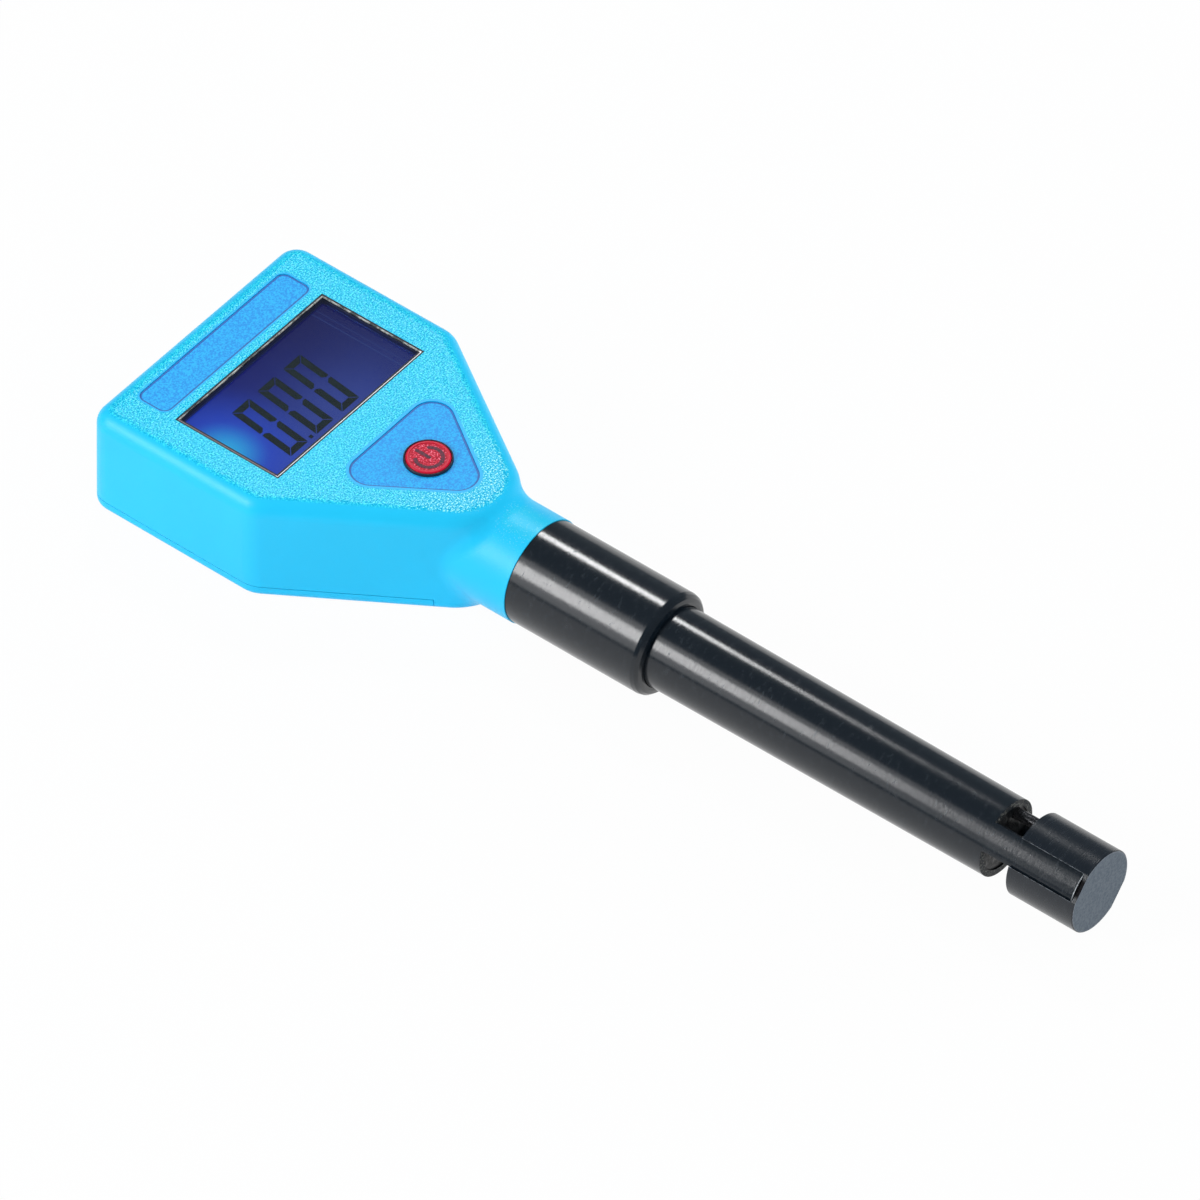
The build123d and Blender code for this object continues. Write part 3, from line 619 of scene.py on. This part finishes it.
def lathe(shape, profile, steps=48, place=(0.0, 0.0)):
    """A turned shape from (radius, height) points, closed where the radius is 0."""
    rings = []
    for radius, height in profile:
        turns = [2 * pi * n / steps for n in range(steps if radius else 1)]
        places = [(place[0] + radius * cos(a), place[1] + radius * sin(a), height) for a in turns]
        rings.append([shape.verts.new(corner) for corner in places])
    for low, high in zip(rings, rings[1:]):
        for n in range(steps):
            after = n + 1
            corners = (low[n % len(low)], low[after % len(low)], high[after % len(high)], high[n % len(high)])
            unique = list(dict.fromkeys(corners))
            if len(unique) > 2:
                shape.faces.new(unique)


def shell_strip(shape, radius, rise, turns, reach):
    """A thin closed strip on the probe's surface, over (start, end) turns in degrees and a reach along Y."""
    low, high = reach
    count = max(2, round(abs(turns[1] - turns[0]) / 4) + 1)
    angles = [radians(turns[0] + (turns[1] - turns[0]) * n / (count - 1)) for n in range(count)]
    height = PROBE_HEIGHT / MM
    rows = [[shape.verts.new((r * cos(a), y, height + r * sin(a))) for a in angles]
            for r, y in ((radius, low), (radius + rise, low), (radius + rise, high), (radius, high))]
    for first, second in zip(rows, rows[1:] + rows[:1]):
        for n in range(count - 1):
            shape.faces.new((first[n], first[n + 1], second[n + 1], second[n]))
    for end in (0, -1):
        shape.faces.new([row[end] for row in rows])


def make_tongue_seams():
    """Thin lines of glue along the tongue's sides in the end block, and a painted glint along the edge of its
    end.
    """
    glue = plain_finish("dried_glue", (0.012, 0.015, 0.020, 1), (0.120, 0.135, 0.155, 1), 1.4, (0.25, 0.5))
    # Pale strip at the tongue's end: a painted glint.
    edge_glint = plain_finish("edge_painted_glint", (0.060, 0.070, 0.080, 1), (0.750, 0.780, 0.800, 1), 0.8, (0.3, 0.5))
    half = TONGUE_HALF_TURN
    seams = piece("tongue_seams", glue, "case")

    def build(shape):
        for turn in (TONGUE_TURN - half, TONGUE_TURN + half):
            shell_strip(shape, SEAM_RADIUS, SEAM_RISE, (turn - SEAM_HALF_TURN, turn + SEAM_HALF_TURN),
                        (TONGUE_END, BLOCK_START))
    fill(seams, build)
    edge = piece("tongue_edge_glint", edge_glint, "case")
    fill(edge, lambda shape: shell_strip(shape, SEAM_RADIUS - EDGE_DEPTH, EDGE_RISE,
                                         (TONGUE_TURN - half, TONGUE_TURN + half),
                                         (TONGUE_END - EDGE_LENGTH, TONGUE_END)))


def segment_outlines():
    """The six lit segments of a zero, upright, from its lower left corner."""
    w, h, t, g = DIGIT_WIDTH, DIGIT_HEIGHT, SEGMENT_WIDTH, SEGMENT_GAP
    middle = h / 2
    top = [(g, h), (t + g, h - t), (w - t - g, h - t), (w - g, h)]
    left_top = [(0, middle + SIDE_OUTER), (t / 2, middle + SIDE_MIDDLE), (t, middle + SIDE_INNER),
                (t, h - t - g), (0, h - g)]
    bottom, left_low = ([(x, h - y) for x, y in points] for points in (top, left_top))
    right_top, right_low = ([(w - x, y) for x, y in points] for points in (left_top, left_low))
    return [top, bottom, left_top, left_low, right_top, right_low]


def slanted(points, number):
    """Outline points on the display, for the digit of that number."""
    x0 = DIGIT_START[0] + number * DIGIT_PITCH
    y0 = DIGIT_START[1]
    return [(x0 + x + DIGIT_SLANT * y / DIGIT_HEIGHT, y0 + y) for x, y in points]


def make_reading():
    """Three zeros and a decimal point, printed dark on the display."""
    ink = digit_finish()
    top = POLARISER_TOP + SEGMENT_THICKNESS
    for number in range(DIGIT_COUNT):
        digit = piece(f"display_digit_{number + 1}", ink, "case")
        fill(digit, lambda shape: [prism(shape, slanted(points, number), POLARISER_TOP, top)
                                   for points in segment_outlines()])
    point = piece("decimal_point", ink, "case")
    start, stop = DIGIT_WIDTH + POINT_OFFSET, DIGIT_WIDTH + POINT_OFFSET + POINT_SIZE
    square = [(start, 0.0), (stop, 0.0), (stop, POINT_SIZE), (start, POINT_SIZE)]
    fill(point, lambda shape: prism(shape, slanted(square, 0), POLARISER_TOP, top))


def sign_ring():
    """Outline of the power sign's open ring, with round ends."""
    half = radians(SIGN_OPENING / 2)
    start, stop = pi / 2 + half, pi / 2 - half + 2 * pi
    cap = SIGN_STROKE / 2
    turns = [start + (stop - start) * n / 40 for n in range(41)]

    def arc(radius, angles):
        return [(radius * cos(a), radius * sin(a)) for a in angles]

    def end_cap(angle, first):
        """Three points of the round end at an angle, starting past a first turn."""
        x, y = SIGN_RADIUS * cos(angle), SIGN_RADIUS * sin(angle)
        around = [angle + first + n * pi / 4 for n in (1, 2, 3)]
        return [(x + cap * cos(a), y + cap * sin(a)) for a in around]

    return (arc(SIGN_RADIUS + cap, turns) + end_cap(stop, 0)
            + arc(SIGN_RADIUS - cap, reversed(turns)) + end_cap(start, pi))


def sign_bar():
    """Outline of the sign's upright bar, with round ends."""
    half, low, high = SIGN_STROKE / 2, 0.0, SIGN_RADIUS + BAR_ABOVE
    turns = [pi * n / 6 for n in range(7)]
    return ([(half * cos(a), high + half * sin(a)) for a in turns]
            + [(-half * cos(a), low - half * sin(a)) for a in turns])


def make_sign():
    """Power sign, printed on the button."""
    ink = plain_finish("sign_ink", SIGN_GREY, SIGN_RED, 3.0, (0.5, 0.65))
    sign = piece("power_sign", ink, "button")
    x, y = BUTTON_PLACE
    top = DISH_FLOOR + SIGN_THICKNESS

    def build(shape):
        for outline in (sign_ring(), sign_bar()):
            prism(shape, [(x + u, y + SIGN_SHIFT + v) for u, v in outline], DISH_FLOOR, top)
    fill(sign, build)


def make_button_ring():
    """Dark ring in the gap round the button: painted shade, a dark piece where the gap falls in shade."""
    painted_shade = plain_finish("button_ring_painted_shade", (0.006, 0.007, 0.016, 1), (0.020, 0.022, 0.040, 1), 4.0, (0.35, 0.5))
    ring = piece("button_ring_shade", painted_shade, "case")
    middle, half = (RING_OUTER + RING_INNER) / 2, (RING_OUTER - RING_INNER) / 2
    turns = [pi * n / 8 for n in range(9)]
    profile = [(middle + half * cos(a), RING_TOP - half * (1 - sin(a))) for a in turns]
    profile += [(RING_INNER, RING_LOW), (RING_OUTER, RING_LOW), profile[0]]
    fill(ring, lambda shape: lathe(shape, profile, 64, BUTTON_PLACE), smooth=True)


def inset_corners(corners, inset):
    """The corners of a counter-clockwise outline, with its sides moved inwards."""
    points = [Vector(corner) for corner in corners]
    moved = []
    for before, here, after in zip(points[-1:] + points[:-1], points, points[1:] + points[:1]):
        a, b = (here - before).normalized(), (after - here).normalized()
        inwards = (Vector((-a.y, a.x)) + Vector((-b.y, b.x))).normalized()
        moved.append(here + inwards * inset / inwards.dot(Vector((-a.y, a.x))))
    return moved


def rounded(corners, radius, steps=10):
    """A counter-clockwise outline with its corners rounded."""
    points = []
    for before, here, after in zip(corners[-1:] + corners[:-1], corners, corners[1:] + corners[:1]):
        a, b = (here - before).normalized(), (after - here).normalized()
        turn = a.angle(b)
        start = here - a * radius * tan(turn / 2)
        middle = start + Vector((-a.y, a.x)) * radius
        first = atan2(-a.x, a.y)
        points += [middle + radius * Vector((cos(first + turn * n / steps), sin(first + turn * n / steps)))
                   for n in range(steps + 1)]
    return points


def ring_prism(shape, outer, inner, low, high):
    """A closed band between two outlines with the same number of points."""
    rings = [[shape.verts.new((p[0], p[1], z)) for p in outline]
             for outline, z in ((outer, low), (outer, high), (inner, high), (inner, low))]
    for first, second in zip(rings, rings[1:] + rings[:1]):
        for n in range(len(first)):
            shape.faces.new((first[n - 1], first[n], second[n], second[n - 1]))


def make_film_edges():
    """Painted shadow line along the edge of each film, where its recess shades it, and the smooth border of
    the moulding round it, with painted shade.
    """
    # The dark line is painted shadow, a thin dark sheet over the film's edge.
    ink = plain_finish("film_line_painted_shadow", FILM_SHADOW_LINE, FILM_SHADOW_LINE_PALE, 3.0, (0.4, 0.5))
    smooth = border_finish()
    x, y = LABEL_PLACE
    w, h = LABEL_SIZE[0] / 2, LABEL_SIZE[1] / 2
    label = ((x - w, y - h), (x + w, y - h), (x + w, y + h), (x - w, y + h))
    for name, corners, radius, width in (("label", label, LABEL_RADIUS, LABEL_BORDER),
                                         ("keypad", KEYPAD_CORNERS, KEYPAD_RADIUS, KEYPAD_BORDER)):
        outlines = [rounded(inset_corners(corners, inset), radius - inset)
                    for inset in (-width, 0.0, FILM_FIT, FILM_FIT + SHADOW_LINE_WIDTH)]
        border = piece(name + "_border", smooth, "case")
        fill(border, lambda shape: ring_prism(shape, *outlines[:2], FACE_TOP, FACE_TOP + LINE_THICKNESS))
        line = piece(name + "_shadow_line", ink, "case")
        fill(line, lambda shape: ring_prism(shape, *outlines[2:], FILM_TOP, FILM_TOP + LINE_THICKNESS))


def window_outline(inset):
    """Corners of the window's opening, moved inwards."""
    low, high = (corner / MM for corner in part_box("lcd_window"))
    return inset_corners(((low.x, low.y), (high.x, low.y), (high.x, high.y), (low.x, high.y)), inset)


def make_window():
    """Pane in the place of the CAD pane, with a dark strip of painted shade at the opening's edge, a painted
    glint on its rim, and a dark band of painted shade inside that.
    """
    low, high = (corner.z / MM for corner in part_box("lcd_window"))
    pane = piece("window_pane", window_finish(), "case")
    outer, inner = window_outline(0.0), window_outline(PANE_CHAMFER)

    def build(shape):
        rings = [[shape.verts.new((p.x, p.y, z)) for p in outline]
                 for outline, z in ((outer, low), (outer, high - PANE_CHAMFER), (inner, high))]
        shape.faces.new(rings[0])
        shape.faces.new(rings[2])
        for below, above in zip(rings, rings[1:]):
            for n in range(4):
                shape.faces.new((below[n - 1], below[n], above[n], above[n - 1]))
    fill(pane, build)
    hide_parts("lcd_window")
    # Dark sheets at the window's edges: painted shade.
    painted_shade = plain_finish("window_painted_shade", (0.003, 0.004, 0.008, 1), (0.010, 0.012, 0.018, 1), 4.0,
                          (0.45, 0.6))
    near, far = window_outline(WINDOW_SHADE_NEAR), window_outline(WINDOW_SHADE_FAR)
    seen = (near[0], Vector((far[1].x, near[1].y)), far[2], Vector((near[3].x, far[3].y)))
    edge_shade_end, glint_end = window_outline(EDGE_SHADE_WIDTH), window_outline(RIM_GLINT_END)
    parts = (("window_edge_shade", painted_shade, "holder_plastic", outer, edge_shade_end, EDGE_SHADE_TOP),
             ("window_rim_glint", rim_glint_finish(), "window_plastic", edge_shade_end, glint_end, RIM_GLINT_TOP),
             ("window_border_shade", painted_shade, "holder_plastic", glint_end, seen, high + WINDOW_SHADE_THICKNESS))
    for name, material, slot, start, end, top in parts:
        made = piece(name, material, "case")
        fill(made, lambda shape: ring_prism(shape, start, end, high, top))


def cross_cutter():
    """Tapered cross that a screwdriver leaves in a head, as a mesh for a boolean."""
    shape = bmesh.new()
    for turn in (0, 1):
        size = (CROSS_LENGTH, CROSS_WIDTH) if turn else (CROSS_WIDTH, CROSS_LENGTH)
        corners = []
        for scale, z in zip(CROSS_TAPER, (HEAD_LOW - 0.2, HEAD_LOW + CROSS_DEPTH)):
            x, y = (side / 2 * (scale if side == CROSS_LENGTH else 1.0) for side in size)
            corners.append([(x * a, y * b, z + 0.01 * turn) for a, b in ((-1, -1), (1, -1), (1, 1), (-1, 1))])
        low, high = ([shape.verts.new(corner) for corner in ring] for ring in corners)
        shape.faces.new(low)
        shape.faces.new(high)
        for n in range(4):
            shape.faces.new((low[n - 1], low[n], high[n], high[n - 1]))
    bmesh.ops.recalc_face_normals(shape, faces=shape.faces)
    mesh = bpy.data.meshes.new("cross_cutter")
    shape.to_mesh(mesh)
    shape.free()
    return mesh


def screw_mesh():
    """One countersunk screw at the origin, in millimetres, with its recess cut."""
    shape = bmesh.new()
    top = HEAD_LOW + HEAD_THICKNESS
    profile = [(0, HEAD_LOW), (HEAD_RADIUS - HEAD_CHAMFER, HEAD_LOW), (HEAD_RADIUS, HEAD_LOW + HEAD_CHAMFER),
               (SHANK_RADIUS, top), (SHANK_RADIUS, SHANK_TOP - SHANK_TAPER), (SHANK_TIP_RADIUS, SHANK_TOP),
               (0, SHANK_TOP)]
    lathe(shape, profile, 40)
    bmesh.ops.recalc_face_normals(shape, faces=shape.faces)
    mesh = bpy.data.meshes.new("screw_blank")
    shape.to_mesh(mesh)
    shape.free()
    blank = bpy.data.objects.new("screw_blank", mesh)
    cutter = bpy.data.objects.new("cross_cutter", cross_cutter())
    for made in (blank, cutter):
        bpy.context.scene.collection.objects.link(made)
    cut = blank.modifiers.new("recess_shade", "BOOLEAN")
    cut.operation = "DIFFERENCE"
    cut.solver = "EXACT"
    cut.use_self = True
    cut.object = cutter
    bpy.context.view_layer.update()
    result = bpy.data.meshes.new_from_object(blank.evaluated_get(bpy.context.evaluated_depsgraph_get()))
    for made in (blank, cutter):
        bpy.data.objects.remove(made)
    return result


def make_screws():
    """Four cross-head screws in the back cover, each turned its own way."""
    zinc = metal_finish("zinc_screw", (0.30, 0.30, 0.31, 1), (0.62, 0.62, 0.64, 1), (3.0, 3.0, 3.0))
    mesh = screw_mesh()
    made = []
    for number, (x, y) in enumerate(SCREW_PLACES):
        screw = piece(f"case_screw_{number + 1}", zinc, "case")

        def build(shape):
            shape.from_mesh(mesh)
            turn = Matrix.Rotation(radians(FIRST_TURN + TURN_STEP * number), 3, "Z")
            bmesh.ops.transform(shape, matrix=turn.to_4x4(), verts=shape.verts)
            bmesh.ops.translate(shape, vec=(x, y, 0), verts=shape.verts)
        made.append(fill(screw, build))
    for screw in made:
        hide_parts("case_screws")


def mirrored(turn):
    """Direction that the probe mirrors to the camera, at a turn from +X towards +Z round its axis."""
    back = Vector(CAMERA_BACK)
    across = sqrt(back.x ** 2 + back.z ** 2)
    return Vector((across * cos(radians(turn)), -back.y, across * sin(radians(turn))))


def box_light(name, turn, distance, width, reach, strength):
    """A lamp that shows on the probe as a band at that turn, over a reach of (start, end) along Y."""
    direction = mirrored(turn)
    middle = Vector((0, sum(reach) / 2, PROBE_HEIGHT)) + direction * distance
    size = (2 * distance * sin(radians(width / 2)), (reach[1] - reach[0]) * sqrt(1 - direction.y ** 2))
    return area_light(name, middle, direction, size, strength, (0, 1, 0))


def area_light(name, place, back, size, strength, along):
    """A rectangular lamp that faces against back, its length along a direction. Strength is radiance."""
    lamp = bpy.data.lights.new(name, "AREA")
    lamp.shape = "RECTANGLE"
    lamp.size, lamp.size_y = size
    lamp.energy = strength * size[0] * size[1] * pi
    made = bpy.data.objects.new(name, lamp)
    bpy.context.scene.collection.objects.link(made)
    back = Vector(back).normalized()
    length = (Vector(along) - back * back.dot(Vector(along))).normalized()
    turned = Matrix((length.cross(back), length, back)).transposed().to_4x4()
    made.matrix_world = Matrix.Translation(place) @ turned
    return made


def make_lights():
    """Lamps that show as bands on the probe, and fills that light the case but show in no gloss or glass."""
    for name, values in BANDS.items():
        box_light(name, *values)
    for name, values in FILLS.items():
        lamp = area_light(name, *values)
        lamp.visible_glossy = False
        lamp.visible_transmission = False
    world = bpy.data.worlds.new("studio")
    world.use_nodes = True
    background = world.node_tree.nodes["Background"]
    background.inputs["Color"].default_value = WORLD_PALE
    background.inputs["Strength"].default_value = WORLD_STRENGTH
    bpy.context.scene.world = world


def floor_finish():
    """Pale floor: white to the camera and in reflections, with a faint shadow kept."""
    made = Finish("pale_floor")
    made.shade(Base_Color=FLOOR_PALE, Roughness=0.9)
    path = made.add("LightPath").outputs
    seen = made.math("MAXIMUM", path["Is Camera Ray"], path["Is Glossy Ray"])
    seen = made.math("MAXIMUM", seen, path["Is Transmission Ray"])
    white = made.add("Emission", {"Color": WHITE, "Strength": 1.0})
    share = made.math("MULTIPLY", seen, FLOOR_WHITE_SHARE)
    mixed = made.add("MixShader", {0: share, 1: made.shader.outputs[0], 2: white.outputs[0]})
    made.tree.links.new(mixed.outputs[0], made.output.inputs["Surface"])
    return made.material


def make_floor():
    """Wide floor that the meter lies on."""
    mesh = bpy.data.meshes.new("floor")
    corners = [(FLOOR_HALF * a, FLOOR_HALF * b, 0) for a, b in ((-1, -1), (1, -1), (1, 1), (-1, 1))]
    mesh.from_pydata(corners, [], [(0, 1, 2, 3)])
    mesh.materials.append(floor_finish())
    floor = bpy.data.objects.new("floor", mesh)
    bpy.context.scene.collection.objects.link(floor)


def make_camera():
    """The photograph's viewpoint."""
    data = bpy.data.cameras.new("photo_camera")
    data.lens = CAMERA_LENS
    data.sensor_width = SENSOR_WIDTH
    data.clip_end = 50
    camera = bpy.data.objects.new("photo_camera", data)
    bpy.context.scene.collection.objects.link(camera)
    back, right = Vector(CAMERA_BACK).normalized(), Vector(CAMERA_RIGHT).normalized()
    turned = Matrix((right, back.cross(right), back)).transposed().to_4x4()
    camera.matrix_world = Matrix.Translation(CAMERA_PLACE) @ turned
    bpy.context.scene.camera = camera


make_camera()
dress_case()
dress_inside()
dress_probe()
make_tongue_seams()
make_reading()
make_sign()
make_button_ring()
make_film_edges()
make_window()
make_screws()
make_lights()
make_floor()

bpy.context.scene.view_settings.view_transform = "Standard"
